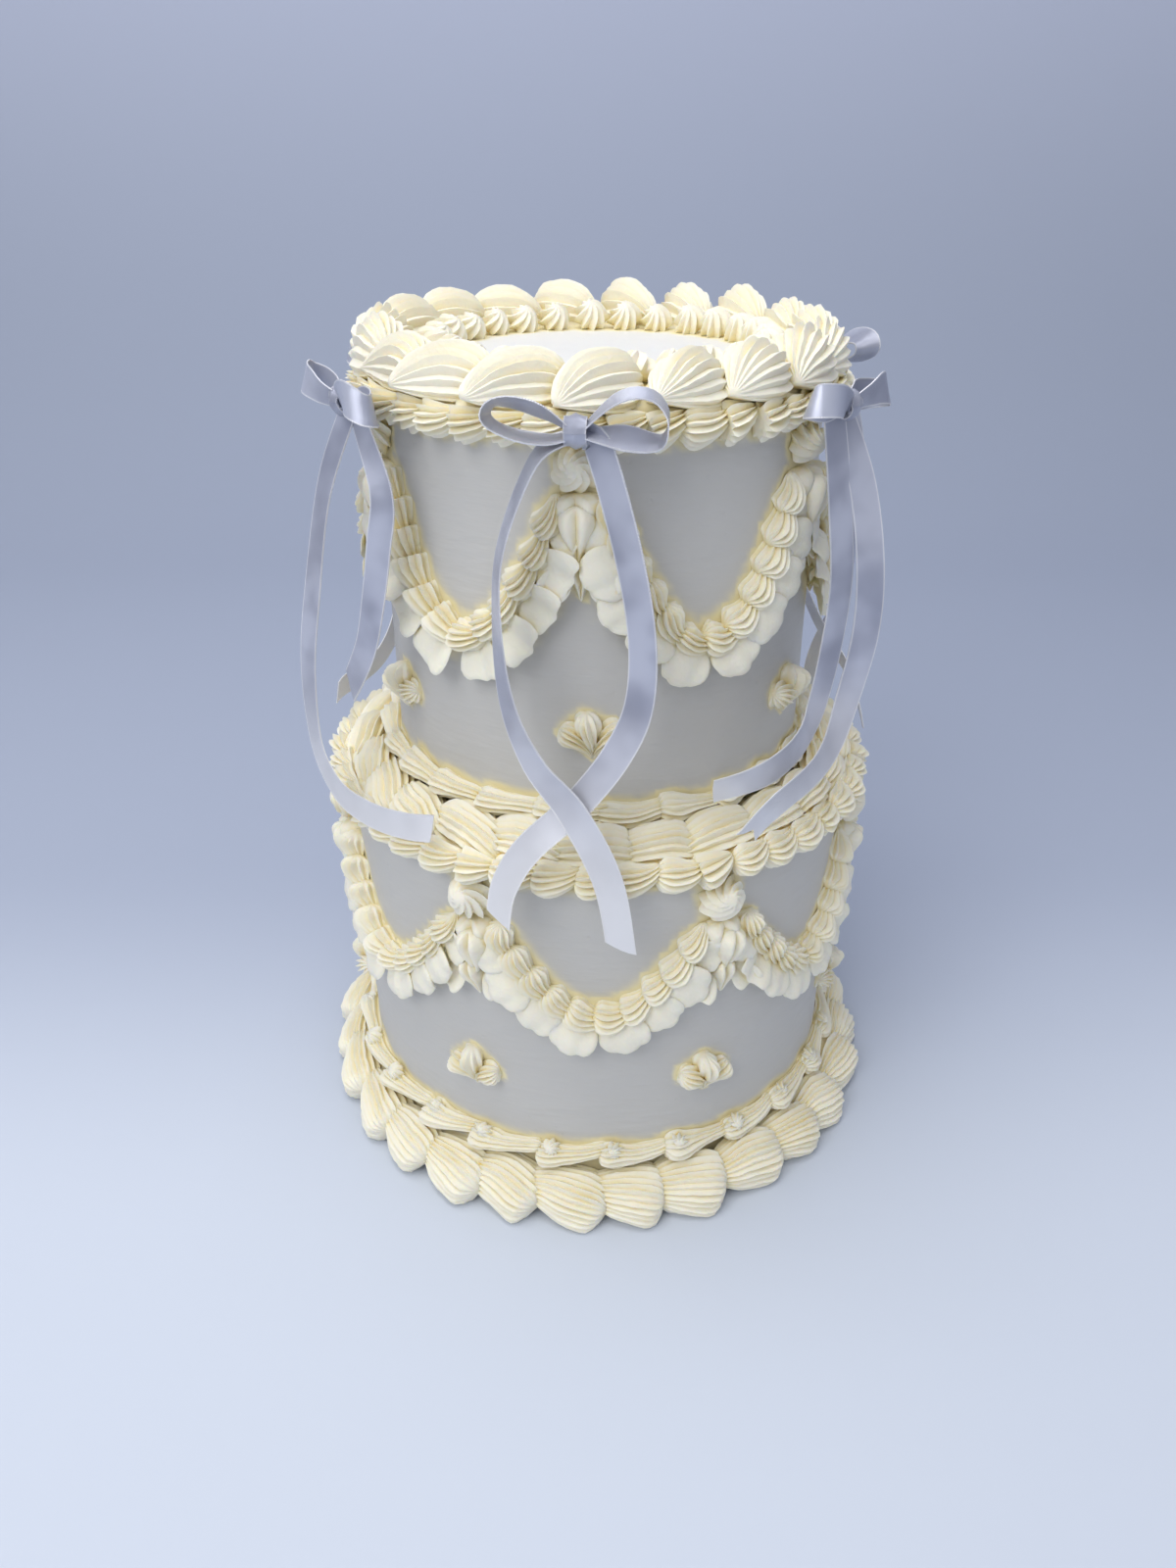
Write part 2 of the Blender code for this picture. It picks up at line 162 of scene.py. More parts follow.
def pipeShell(name, look):
    # squeezed out along +X from its tail to its head, flat where it sits
    half = look["width"] / 2
    piece = nozzleOutline(name, look, upright=True)
    bpy.ops.mesh.bisect(
        plane_co=(0, 0, -piping["sunk"] * half), plane_no=(0, 0, 1), clear_inner=True
    )
    bpy.ops.mesh.select_all(action="SELECT")
    bpy.ops.mesh.edge_face_add()
    if look.get("slit"):
        pick(piece, lambda vertex: abs(vertex.co.y) < 0.04 * half and vertex.co.z > 0)
        bpy.ops.transform.resize(value=(1, 1, look["slit"]), center_override=(0, 0, 0))
        bpy.ops.mesh.select_all(action="SELECT")
    bpy.ops.transform.resize(value=(1, 1, look["height"] / half), center_override=(0, 0, 0))
    stages = look["stages"]
    first = stages[0][1]
    bpy.ops.transform.resize(value=(first, first, first), center_override=(0, 0, 0))
    spot = Vector((0.0, 0.0, 0.0))
    bend = math.radians(look.get("bend", 0))
    heading = -bend / 2
    turnCap(heading, "Z", spot)
    for (here, size), (there, nextSize) in zip(stages, stages[1:]):
        turn = bend * (there - here)
        heading += turn
        move = Vector((math.cos(heading), math.sin(heading), 0)) * (there - here) * look["length"]
        bpy.ops.mesh.extrude_region_move(TRANSFORM_OT_translate={"value": move})
        spot += move
        grow = nextSize / size
        bpy.ops.transform.resize(value=(grow, grow, grow), center_override=spot)
        turnCap(turn, "Z", spot)
    ahead = Vector((math.cos(heading), math.sin(heading), 0))
    if look.get("jag"):
        # the ridges reach past the grooves at the head
        layer = bmesh.from_edit_mesh(piece.data).verts.layers.int["line"]
        pick(piece, lambda vertex: vertex[layer] == 1 and vertex.select)
        bpy.ops.transform.translate(value=ahead * look["jag"])
        pick(piece, lambda vertex: (vertex.co - spot).dot(ahead) > -1e-5)
    if look.get("open"):
        # the head is left open, so that its ridges stand as fins round a hollow
        inwards = -ahead * look["open"] * look["length"]
        bpy.ops.mesh.extrude_region_move(TRANSFORM_OT_translate={"value": inwards})
        spot += inwards
        narrow = piping["hollowWidth"]
        bpy.ops.transform.resize(value=(narrow, narrow, narrow), center_override=spot)
    bpy.ops.mesh.merge(type="COLLAPSE")
    closeUp()
    creaseLines(piece, look)
    soften(piece)
    return keepShape(piece, look.get("fromTail"))


def pipeStar(name, look):
    # squeezed straight out of the cake along +Z while the nozzle turns: a rosette or a curl
    piece = nozzleOutline(name, look, upright=False)
    bpy.ops.mesh.edge_face_add()
    for rise, size, turn in look["stages"]:
        bpy.ops.mesh.extrude_region_move(TRANSFORM_OT_translate={"value": (0, 0, rise)})
        bpy.ops.transform.resize(value=(size, size, 1), center_override=(0, 0, 0))
        turnCap(math.radians(turn), "Z", (0, 0, 0))
    bpy.ops.mesh.merge(type="COLLAPSE")
    closeUp()
    creaseLines(piece, look)
    soften(piece)
    return keepShape(piece)


def pipePetal(name, look):
    # a thick petal from a slotted nozzle: its joint at -X, its lip at +X, lifted and domed
    rows, width, length = look["rows"], look["width"], look["length"]
    clearSelection()
    bpy.ops.mesh.primitive_grid_add(x_subdivisions=len(rows) - 1, y_subdivisions=6, size=1.0)
    piece = newest(name)
    editMode()
    bpy.ops.mesh.select_all(action="SELECT")
    bpy.ops.transform.resize(value=(length, width, 1), center_override=(0, 0, 0))
    step = length / (len(rows) - 1)
    for row, (share, lift, reach) in enumerate(rows):
        x = -length / 2 + row * step
        pick(piece, lambda vertex, x=x: abs(vertex.co.x - x) < step * 0.2)
        bpy.ops.transform.resize(value=(1, share, 1), center_override=(x, 0, 0))
        bpy.ops.transform.translate(value=(reach, 0, lift))
    # the middle of the petal reaches further out than its sides, and stands prouder
    pick(piece, lambda vertex: abs(vertex.co.y) < width * 0.1)
    bpy.ops.transform.translate(value=(look["bulge"], 0, look["dome"]))
    pick(piece, lambda vertex: vertex.co.y > width * 0.28)
    bpy.ops.transform.translate(value=(0, 0, look["pleat"]))
    # shallow folds run out to the lip
    pick(piece, lambda vertex: vertex.co.x > 0 and vertex.index % 7 % 2)
    bpy.ops.transform.translate(value=(0, 0, look["folds"]))
    objectMode()
    applyModifier(piece, "SOLIDIFY", thickness=look["thickness"], offset=1.0)
    editMode()
    closeUp()
    soften(piece)
    return keepShape(piece)


def keepShape(piece, fromTail=False):
    # the shape's vertices, centred on its footprint, and the shape itself put away
    mesh = piece.data
    spots = np.empty(len(mesh.vertices) * 3, np.float32)
    mesh.vertices.foreach_get("co", spots)
    spots = spots.reshape(-1, 3).astype(float)
    if not fromTail:
        spots[:, :2] -= ((spots.max(0) + spots.min(0)) / 2)[:2]
    for extra in ("line", "crease_edge"):
        if extra in mesh.attributes:
            mesh.attributes.remove(mesh.attributes[extra])
    mesh.use_fake_user = True
    bpy.data.objects.remove(piece)
    return mesh, spots


# Laying piping on the cake

def unevenSpots(spots, draw, amount):
    # slow waves and a little ripple through a copy, so that no two are alike
    moved = spots.copy()
    for axis in range(3):
        for wave, share in piping["ripples"]:
            direction = Vector((draw.uniform(-1, 1), draw.uniform(-1, 1), draw.uniform(-1, 1)))
            direction = direction.normalized() * wave
            swing = np.sin(spots @ np.array(direction) + draw.uniform(0, math.tau))
            moved[:, axis] += swing * amount * share
    return moved


def lay(shape, draw, azimuth, radius, height, lean, heading, size, uneven):
    # a copy of a shape on the cake: its +X along the heading, 0 towards a growing azimuth and 90
    # upwards, and its +Z leaning from straight out, 0, to straight up, 90
    mesh, spots = shape
    along, across, out = (unevenSpots(spots, draw, uneven) * np.array(size)).T
    turn = math.radians(heading)
    side = along * math.cos(turn) - across * math.sin(turn)
    rise = along * math.sin(turn) + across * math.cos(turn)
    tip = math.radians(lean)
    radii = radius + out * math.cos(tip) - rise * math.sin(tip)
    heights = height + out * math.sin(tip) + rise * math.cos(tip)
    turns = math.radians(azimuth) + side / radius
    placed = np.stack([radii * np.sin(turns), -radii * np.cos(turns), heights], 1)
    placed[:, 2] = np.maximum(placed[:, 2], 0.0002)
    copied = mesh.copy()
    copied.vertices.foreach_set("co", placed.astype(np.float32).ravel())
    copy = bpy.data.objects.new("piping", copied)
    bpy.context.scene.collection.objects.link(copy)
    return copy


def joinPiping(name, copies, node, finish):
    clearSelection()
    for copy in copies:
        copy.select_set(True)
    bpy.context.view_layer.objects.active = copies[0]
    bpy.ops.object.join()
    piece = newest(name)
    bpy.ops.object.shade_smooth_by_angle(angle=math.radians(piping["smoothBelow"]))
    piece.data.materials.clear()
    piece.data.materials.append(finish)
    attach(piece, "root")
    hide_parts(node)
    return piece


# The two iced tiers

tierNodes = {
    "bottom_tier": {"radius": 0.105, "low": 0.0, "high": 0.156},
    "top_tier": {"radius": 0.083, "low": 0.1563, "high": 0.321},
}
tierLook = {"sides": 180, "rows": 55, "rings": 20, "edge": 0.004, "edgeSteps": 4, "waveSize": 0.045,
            "waveDepth": 0.0009, "waveLevel": 0.62}


def iceTier(node, look, finish):
    radius, low, high = look["radius"], look["low"], look["high"]
    clearSelection()
    bpy.ops.mesh.primitive_cylinder_add(
        vertices=tierLook["sides"], radius=radius, depth=high - low,
        location=(0, 0, (high + low) / 2),
    )
    piece = newest(f"iced_{node}")
    bpy.ops.object.transform_apply(location=True, rotation=False, scale=False)
    editMode()
    rim = high - 1e-4
    pick(piece, lambda vertex: vertex.co.z > rim)
    bpy.ops.mesh.bevel(offset=tierLook["edge"], segments=tierLook["edgeSteps"], affect="EDGES")
    # the wall is cut into rows, and the top into rings
    shape = bmesh.from_edit_mesh(piece.data)
    for edge in shape.edges:
        upright = abs(edge.verts[0].co.z - edge.verts[1].co.z) > 0.05
        edge.select_set(upright)
    bmesh.update_edit_mesh(piece.data)
    bpy.ops.mesh.subdivide(number_cuts=tierLook["rows"])
    bpy.ops.mesh.select_mode(type="FACE")
    shape = bmesh.from_edit_mesh(piece.data)
    for face in shape.faces:
        face.select_set(len(face.verts) > 100 and face.calc_center_median().z > rim)
    bmesh.update_edit_mesh(piece.data)
    ring = (radius - tierLook["edge"]) / (tierLook["rings"] + 1)
    for _ in range(tierLook["rings"]):
        bpy.ops.mesh.inset(thickness=ring)
    bpy.ops.mesh.merge(type="COLLAPSE")
    bpy.ops.mesh.select_mode(type="VERT")
    closeUp()
    # a palette knife leaves the wall a little wavy
    wavy = bpy.data.textures.new("knife", "CLOUDS")
    wavy.noise_scale = tierLook["waveSize"]
    applyModifier(
        piece, "DISPLACE", texture=wavy, texture_coords="LOCAL", strength=tierLook["waveDepth"],
        mid_level=tierLook["waveLevel"],
    )
    editMode()
    pick(piece, lambda vertex: vertex.co.z < low + 1e-3)
    bpy.ops.transform.resize(value=(1, 1, 0), center_override=(0, 0, low))
    objectMode()
    bpy.ops.object.shade_smooth_by_angle(angle=math.radians(50))
    piece.data.materials.clear()
    piece.data.materials.append(finish)
    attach(piece, "root")
    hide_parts(node)
    return piece


# Where icing is hidden from the light: a share of nearby sky, kept at every vertex

creviceLook = {"reach": 0.010, "rays": 34, "lift": 0.00035, "grazing": 0.12, "farShare": 0.5}


def markCrevices(pieces):
    reach, rays = creviceLook["reach"], creviceLook["rays"]
    corners, faces = [], []
    for piece in pieces:
        mesh = piece.data
        mesh.calc_loop_triangles()
        spots = np.empty(len(mesh.vertices) * 3, np.float32)
        mesh.vertices.foreach_get("co", spots)
        triangles = np.empty(len(mesh.loop_triangles) * 3, np.int32)
        mesh.loop_triangles.foreach_get("vertices", triangles)
        faces.extend((triangles.reshape(-1, 3) + len(corners)).tolist())
        corners.extend(spots.reshape(-1, 3).tolist())
    tree = BVHTree.FromPolygons(corners, faces, all_triangles=True)
    print("icing mesh:", len(corners), "vertices,", len(faces), "triangles")
    # directions spread evenly all round
    golden = math.pi * (3 - math.sqrt(5))
    sky = []
    for number in range(rays):
        up = 1 - 2 * (number + 0.5) / rays
        flat = math.sqrt(1 - up * up)
        sky.append((flat * math.cos(golden * number), flat * math.sin(golden * number), up))
    skyTable = np.array(sky).T
    skyRays = [Vector(direction) for direction in sky]
    cast = tree.ray_cast
    for piece in pieces:
        mesh = piece.data
        count = len(mesh.vertices)
        spots = np.empty(count * 3, np.float32)
        mesh.vertices.foreach_get("co", spots)
        normals = np.empty(count * 3, np.float32)
        mesh.vertex_normals.foreach_get("vector", normals)
        spots = spots.reshape(-1, 3)
        normals = normals.reshape(-1, 3)
        facing = normals @ skyTable
        starts = spots + normals * creviceLook["lift"]
        hidden = np.zeros(count, np.float32)
        for index in range(count):
            start = Vector(starts[index])
            row = facing[index]
            total = blocked = 0.0
            for ray in np.nonzero(row > creviceLook["grazing"])[0]:
                weight = row[ray]
                total += weight
                distance = cast(start, skyRays[ray], reach)[3]
                if distance is not None:
                    blocked += weight * (1 - creviceLook["farShare"] * distance / reach)
            hidden[index] = blocked / total if total else 1.0
        crevice = mesh.attributes.new("crevice", "FLOAT", "POINT")
        crevice.data.foreach_set("value", hidden)


# Materials: a wire is an output socket, and arithmetic on wires adds Math nodes

class Wire:
    def __init__(self, finish, socket):
        self.finish = finish
        self.socket = socket

    def maths(self, operation, *values):
        inputs = dict(enumerate(values))
        return self.finish.node("ShaderNodeMath", {"operation": operation}, inputs)

    def __add__(self, other):
        return self.maths("ADD", self, other)

    def __sub__(self, other):
        return self.maths("SUBTRACT", self, other)

    def __rsub__(self, other):
        return self.maths("SUBTRACT", other, self)

    def __mul__(self, other):
        return self.maths("MULTIPLY", self, other)

    def __abs__(self):
        return self.maths("ABSOLUTE", self)

    def sine(self):
        return self.maths("SINE", self)

    __radd__ = __add__
    __rmul__ = __mul__


class Finish:
    def __init__(self, name, **constants):
        self.material = bpy.data.materials.new(name)
        self.material.use_nodes = True
        self.tree = self.material.node_tree
        self.shader = self.tree.nodes["Principled BSDF"]
        for socket, value in constants.items():
            self.shader.inputs[socket.replace("_", " ")].default_value = value

    def node(self, kind, settings=None, inputs=None, output=0):
        made = self.tree.nodes.new(kind)
        for setting, value in (settings or {}).items():
            setattr(made, setting, value)
        for socket, value in (inputs or {}).items():
            if isinstance(value, Wire):
                self.tree.links.new(value.socket, made.inputs[socket])
            else:
                made.inputs[socket].default_value = value
        return Wire(self, made.outputs[output])

    def ramp(self, value, low, high):
        # 0 below low and 1 above high, easing between them
        return self.node(
            "ShaderNodeMapRange",
            {"interpolation_type": "SMOOTHSTEP"},
            {"Value": value, "From Min": low, "From Max": high},
        )

    def blend(self, share, first, second):
        first, second = ((*c, 1) if isinstance(c, tuple) else c for c in (first, second))
        return self.node(
            "ShaderNodeMix", {"data_type": "RGBA"}, {"Factor": share, 6: first, 7: second}, 2
        )

    def noise(self, place, scale, detail=2.0):
        return self.node(
            "ShaderNodeTexNoise", {}, {"Vector": place, "Scale": scale, "Detail": detail}
        )

    def wear(self, socket, value):
        self.tree.links.new(value.socket, self.shader.inputs[socket])

    def bump(self, height, distance):
        self.wear("Normal", self.node("ShaderNodeBump", {}, {"Height": height, "Distance": distance}))

    def place(self, kind="Object"):
        # a point of the piece in metres, or with UV its place along and across the piece
        return self.node("ShaderNodeTexCoord", output={"Object": 3, "UV": 2}[kind])

    def part(self, place, axis):
        return self.node("ShaderNodeSeparateXYZ", {}, {0: place}, "XYZ".index(axis))

    def marked(self, name):
        return self.node("ShaderNodeAttribute", {"attribute_name": name}, output=2)


icingColours = {
    # painted shade: the wall's colour is a darker copy of the top's, though both are one icing
    "wall": (0.60, 0.587, 0.553),
    # painted light: the top is given a lighter copy of the same icing
    "paintedLitTop": (0.78, 0.77, 0.735),
    # painted light: a yellow halo on the wall where nearby piping hides it from the sky
    "paintedWallGlow": (0.86, 0.78, 0.50),
    "ivory": (0.91, 0.868, 0.728),
    # painted shade: the yellow of grooves and creases hidden from the sky
    "creaseShadeYellow": (0.88, 0.785, 0.50),
    # painted shade: the deep yellow-brown of the most hidden creases
    "deepCreaseShade": (0.80, 0.545, 0.10),
}


def pipedIcing():
    finish = Finish(
        "piped buttercream", Subsurface_Weight=0.3, Subsurface_Radius=(1.0, 0.75, 0.35),
        Subsurface_Scale=0.0016, Specular_IOR_Level=0.32,
    )
    place = finish.place()
    crevice = finish.marked("crevice")
    hollow = finish.marked("hollow")
    patch = finish.noise(place, 60.0, 3.0)
    # painted shade: grooves and creases hidden from the sky turn yellow, and the most hidden
    # yellow-brown, with a little tone that differs at random
    depth = crevice + hollow * 0.32 + (patch - 0.5) * 0.14
    creaseShaded = finish.blend(finish.ramp(depth, 0.24, 0.98), icingColours["ivory"], icingColours["creaseShadeYellow"])
    finish.wear("Base Color", finish.blend(finish.ramp(depth, 0.94, 1.26), creaseShaded, icingColours["deepCreaseShade"]))
    pits = finish.noise(place, 900.0, 2.0)
    drag = finish.noise(place, 260.0, 3.0)
    finish.bump(pits * 0.35 + drag, 0.00035)
    finish.wear("Roughness", 0.38 + patch * 0.18)
    return finish.material


def smoothIcing():
    finish = Finish(
        "smoothed buttercream", Subsurface_Weight=0.1, Subsurface_Radius=(1.0, 0.8, 0.5),
        Subsurface_Scale=0.004, Specular_IOR_Level=0.3,
    )
    place = finish.place()
    crevice = finish.marked("crevice")
    flattened = finish.node(
        "ShaderNodeMapping", {}, {"Vector": place, "Scale": (1.0, 1.0, 5.0)}
    )
    smear = finish.noise(flattened, 55.0, 4.0)
    cloud = finish.noise(place, 14.0, 2.0)
    # painted light: the wall turns to a yellow halo where nearby piping hides it from the sky
    paintedGlow = finish.ramp(crevice + (cloud - 0.5) * 0.1, 0.08, 0.52)
    wall = finish.blend(cloud, icingColours["wall"], tuple(c * 0.95 for c in icingColours["wall"]))
    # painted light and shade: the tier's top gets the lighter copy of the icing and its wall the darker
    paintedLitTop = finish.ramp(finish.part(place, "Z"), 0.3185, 0.3205)
    smooth = finish.blend(paintedLitTop, wall, icingColours["paintedLitTop"])
    finish.wear("Base Color", finish.blend(paintedGlow, smooth, icingColours["paintedWallGlow"]))
    cells = finish.node("ShaderNodeTexVoronoi", {}, {"Vector": place, "Scale": 190.0})
    pits = finish.ramp(cells, 0.0, 0.22) * finish.ramp(finish.noise(place, 40.0), 0.50, 0.62)
    finish.bump(smear * 0.9 + pits * 0.28, 0.0005)
    finish.wear("Roughness", 0.44 + smear * 0.14)
    return finish.material


ribbonLook = {
    "colour": (0.37, 0.385, 0.475),
    # a painted highlight, strewn in patches over the satin
    "paintedSheen": (0.62, 0.64, 0.74),
    # the selvedges' own lighter colour, and the painted highlight on the tails' lower ends
    "selvedgeAndPaintedHighlight": (0.98, 0.965, 0.95),
    "width": 0.0104,
    "thickness": 0.0004,
    "across": 4,
    "step": 0.0035,
}


def satinRibbon():
    finish = Finish(
        "satin ribbon", Metallic=0.45, Sheen_Weight=0.25, Sheen_Roughness=0.4,
        Sheen_Tint=(0.9, 0.92, 1.0, 1), Specular_IOR_Level=0.7,
    )
    strip = finish.place("UV")
    along, across = finish.part(strip, "X"), finish.part(strip, "Y")
    edge = finish.ramp(abs(across - 0.5), 0.44, 0.47)
    threads = (across * 260.0).sine()
    ribs = (along * 9000.0).sine()
    place = finish.place()
    cloud = finish.noise(place, 45.0, 2.0)
    # painted highlight: patches of lighter satin strewn over the ribbon's own colour
    body = finish.blend(finish.ramp(cloud, 0.3, 0.7), ribbonLook["colour"], ribbonLook["paintedSheen"])
    # painted highlight: the tails turn lighter towards their lower ends, where they face up to the
    # light
    paintedLowHighlight = 1 - finish.ramp(finish.part(place, "Z"), 0.150, 0.235)
    body = finish.blend(paintedLowHighlight * 0.9, body, ribbonLook["selvedgeAndPaintedHighlight"])
    # the selvedges are a lighter band along both edges, in the same colour
    finish.wear("Base Color", finish.blend(edge * 0.5, body, ribbonLook["selvedgeAndPaintedHighlight"]))
    finish.bump(threads * 0.25 + edge * (0.6 + ribs * 0.5), 0.0001)
    finish.wear("Roughness", 0.27 + edge * 0.2 + cloud * 0.08)
    return finish.material


# Studio: camera, light and a pale floor that sweeps up behind

studio = {
    "cameraPlace": (-0.0041, -0.4548, 0.3934),
    "cameraTip": 60.8,
    "lens": 27.0,
    "tableColour": (0.62, 0.67, 0.76),
    "backColour": (0.41, 0.455, 0.56),
    "highColour": (0.76, 0.80, 0.96),
    "roomColour": (0.88, 0.91, 1.0),
    "roomStrength": 0.52,
    "floorSize": 6.0,
    "floorBehind": 1.4,
    "sweepHeight": 3.0,
    "sweepRound": 0.7,
}
lamps = {
    "ceiling": {"place": (-0.25, -0.12, 1.5), "turn": (0, 0, 0), "size": 0.9, "power": 9.8},
    "window": {"place": (-0.75, -1.3, 1.45), "turn": (49.5, 0, -30), "size": 1.0, "power": 12.8},
    "fill": {"place": (0.9, -1.5, 0.7), "turn": (68, 0, 31), "size": 1.0, "power": 0.4},
}


def plainFloor():
    # pale, and a little deeper where it sweeps away behind
    finish = Finish("pale floor", Roughness=0.75)
    place = finish.place()
    away = finish.ramp(finish.part(place, "Y"), -0.13, 0.16)
    above = finish.ramp(finish.part(place, "Z"), 0.1, 1.1)
    backdrop = finish.blend(above, studio["backColour"], studio["highColour"])
    finish.wear("Base Color", finish.blend(away, studio["tableColour"], backdrop))
    return finish.material


def setStudio():
    tip = math.radians(studio["cameraTip"])
    bpy.ops.object.camera_add(location=studio["cameraPlace"], rotation=(tip, 0, 0))
    camera = bpy.context.object
    camera.data.sensor_fit = "VERTICAL"
    camera.data.sensor_height = 36.0
    camera.data.lens = studio["lens"]
    camera.data.clip_start = 0.01
    bpy.context.scene.camera = camera
    bpy.context.scene.view_settings.view_transform = "Standard"

    world = bpy.context.scene.world or bpy.data.worlds.new("room")
    bpy.context.scene.world = world
    world.use_nodes = True
    sky = world.node_tree.nodes["Background"]
    sky.inputs[0].default_value = (*studio["roomColour"], 1)
    sky.inputs[1].default_value = studio["roomStrength"]

    for name, look in lamps.items():
        turned = tuple(math.radians(angle) for angle in look["turn"])
        bpy.ops.object.light_add(type="AREA", location=look["place"], rotation=turned)
        lamp = bpy.context.object
        lamp.name = name
        lamp.data.size = look["size"]
        lamp.data.energy = look["power"]

    clearSelection()
    bpy.ops.mesh.primitive_plane_add(size=studio["floorSize"], location=(0, 0, 0))
    floor = newest("floor")
    editMode()
    pick(floor, lambda vertex: vertex.co.y > 0)
    nearer = studio["floorSize"] / 2 - studio["floorBehind"]
    bpy.ops.transform.translate(value=(0, -nearer, 0))
    sweep = {"value": (0, 0, studio["sweepHeight"])}
    bpy.ops.mesh.extrude_region_move(TRANSFORM_OT_translate=sweep)
    pick(floor, lambda vertex: vertex.co.y > 0 and vertex.co.z < 0.01)
    bpy.ops.mesh.bevel(offset=studio["sweepRound"], segments=24, affect="EDGES")
    bpy.ops.mesh.select_all(action="SELECT")
    objectMode()
    bpy.ops.object.shade_smooth()
    floor.data.materials.append(plainFloor())


# Shapes that the borders are piped from. Stages are (place along it, size)

fanStages = ((0.0, 0.12), (0.07, 0.36), (0.20, 0.66), (0.40, 0.87), (0.61, 0.97), (0.79, 1.0),
             (0.92, 0.88), (1.0, 0.60))
domeStages = ((0.0, 0.10), (0.07, 0.36), (0.19, 0.68), (0.36, 0.92), (0.55, 1.0), (0.74, 0.95),
              (0.90, 0.76), (1.0, 0.46))
shellStages = ((0.0, 0.22), (0.12, 0.42), (0.30, 0.66), (0.50, 0.86), (0.70, 1.0), (0.85, 0.94),
               (0.95, 0.70), (1.0, 0.38))
ropeStages = ((0.0, 0.46), (0.2, 0.56), (0.45, 0.64), (0.65, 0.78), (0.80, 1.0), (0.91, 0.95),
              (0.97, 0.72), (1.0, 0.40))
finStages = ((0.0, 0.16), (0.16, 0.44), (0.38, 0.72), (0.64, 0.94), (0.86, 1.03), (1.0, 0.98))
budStages = ((0.0, 0.08), (0.15, 0.26), (0.34, 0.50), (0.56, 0.84), (0.74, 1.0), (0.89, 0.90),
             (0.97, 0.60), (1.0, 0.28))

shapeLooks = {
    "rimFan": {"length": 0.0325, "width": 0.0250, "height": 0.0178, "ridges": 22, "groove": 0.80,
               "bend": -40, "stages": domeStages, "jag": 0.0012},
    "rimSwirl": {"length": 0.0375, "width": 0.0228, "height": 0.0178, "ridges": 22,
                 "groove": 0.79, "bend": -92, "stages": domeStages, "jag": 0.0010},
    "edgeShell": {"length": 0.0180, "width": 0.0150, "height": 0.0100, "ridges": 15,
                  "groove": 0.64, "bend": -44, "stages": shellStages},
    "edgeFin": {"length": 0.0150, "width": 0.0145, "height": 0.0105, "ridges": 13,
                "groove": 0.56, "bend": -12, "stages": finStages, "open": 0.10, "jag": 0.0022},
    "swagShell": {"length": 0.0172, "width": 0.0142, "height": 0.0104, "ridges": 15,
                  "groove": 0.64, "bend": -75, "stages": shellStages},
    "swagFin": {"length": 0.0165, "width": 0.0155, "height": 0.0100, "ridges": 13,
                "groove": 0.54, "bend": -26, "stages": finStages, "open": 0.12, "jag": 0.0030},
    "shelfShell": {"length": 0.0370, "width": 0.0265, "height": 0.0130, "ridges": 23,
                   "groove": 0.76, "bend": -36, "stages": domeStages, "jag": 0.0024},
    "lineRope": {"length": 0.0320, "width": 0.0142, "height": 0.0092, "ridges": 14,
                 "groove": 0.68, "bend": -20, "stages": ropeStages},
    "baseShell": {"length": 0.0355, "width": 0.0280, "height": 0.0128, "ridges": 27,
                  "groove": 0.79, "bend": -24, "stages": fanStages, "jag": 0.0016},
    "leftLobe": {"length": 0.0170, "width": 0.0125, "height": 0.0088, "ridges": 15,
                 "groove": 0.62, "bend": 66, "stages": budStages, "fromTail": True},
    "rightLobe": {"length": 0.0170, "width": 0.0125, "height": 0.0088, "ridges": 15,
                  "groove": 0.62, "bend": -66, "stages": budStages, "fromTail": True},
    "topLobe": {"length": 0.0175, "width": 0.0098, "height": 0.0095, "ridges": 11,
                "groove": 0.70, "slit": 0.62, "stages": budStages, "fromTail": True},
    "bud": {"length": 0.0225, "width": 0.0140, "height": 0.0098, "ridges": 10, "groove": 0.97,
            "slit": 0.46, "stages": budStages, "cut": 0.9, "crisp": 0.0},
}
starLooks = {
    "rosette": {"width": 0.0176, "ridges": 9, "groove": 0.66, "crisp": 0.4, "stages": (
        (0.0018, 1.06, 9), (0.0022, 0.92, 17), (0.0024, 0.82, 23), (0.0020, 0.72, 28),
        (0.0014, 0.58, 32), (0.0002, 0.42, 34))},
    "curl": {"width": 0.0150, "ridges": 8, "groove": 0.62, "crisp": 0.4, "stages": (
        (0.0022, 1.06, 10), (0.0028, 0.90, 16), (0.0026, 0.74, 22), (0.0016, 0.56, 26),
        (0.0004, 0.40, 28))},
}
petalLooks = {
    "roundPetal": {"length": 0.0152, "width": 0.0194, "thickness": 0.0015, "bulge": 0.0012,
                   "dome": 0.0016, "pleat": 0.0010, "folds": 0.0003, "rows": (
                       (0.56, 0.0006, 0.0), (0.82, 0.0026, 0.0), (0.98, 0.0042, 0.0),
                       (1.0, 0.0052, 0.0), (0.88, 0.0054, 0.0), (0.58, 0.0044, -0.0004))},
    "pointPetal": {"length": 0.0158, "width": 0.0186, "thickness": 0.0010, "bulge": 0.0018,
                   "dome": -0.0014, "pleat": 0.0024, "folds": 0.0007, "rows": (
                       (0.50, 0.0010, 0.0), (0.74, 0.0028, 0.0), (0.94, 0.0044, 0.0),
                       (1.0, 0.0056, 0.0), (0.84, 0.0064, 0.0))},
}


def pipeShapes():
    shapes = {name: pipeShell(name, look) for name, look in shapeLooks.items()}
    shapes.update({name: pipeStar(name, look) for name, look in starLooks.items()})
    shapes.update({name: pipePetal(name, look) for name, look in petalLooks.items()})
    return shapes


# The borders. A large shell's head is at its larger azimuth, heading 0, and a small one's at its
# smaller, 180. A start is the azimuth where the first one begins

